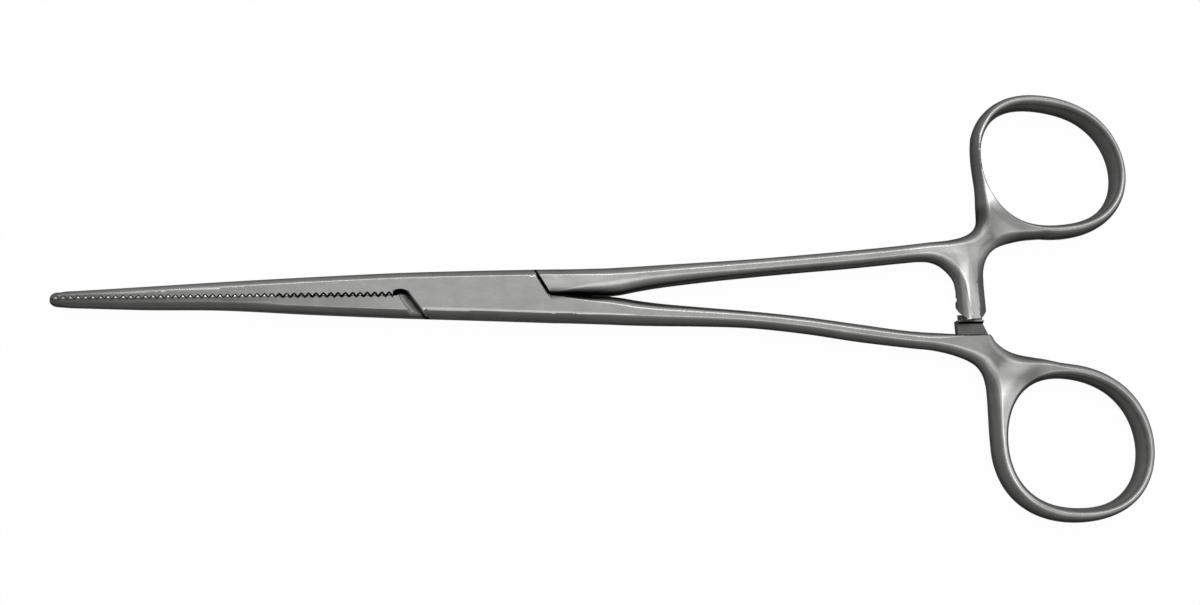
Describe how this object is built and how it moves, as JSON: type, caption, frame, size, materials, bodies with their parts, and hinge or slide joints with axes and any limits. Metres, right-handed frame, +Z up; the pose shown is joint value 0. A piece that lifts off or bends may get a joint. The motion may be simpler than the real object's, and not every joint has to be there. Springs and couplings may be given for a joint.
{
  "type": "hemostat forceps",
  "caption": "Straight stainless hemostat forceps with box lock, serrated jaws, ratchet arms and two finger rings, about 20 cm long, closed and lying flat.",
  "frame": {"origin": "on the lock pin's axis, at the underside of the box that lies on the table", "axes": "+X along the instrument towards the finger rings, +Y across it towards the upper ring, +Z up from the table through the lock pin"},
  "size_m": [0.203, 0.0836, 0.0054],
  "materials": {
    "steel": "satin brushed stainless steel",
    "pin_steel": "satin ground stainless steel"
  },
  "bodies": {
    "box": {"box_half": "steel", "lock_pin": "pin_steel"},
    "tongue": {"tongue_half": "steel"}
  },
  "joints": [
    {"name": "box_lock_pivot", "type": "hinge", "parent": "box", "child": "tongue", "pos_m": [0, 0, 0], "axis": [0, 0, 1], "range_deg": [0, 80]}
  ]
}
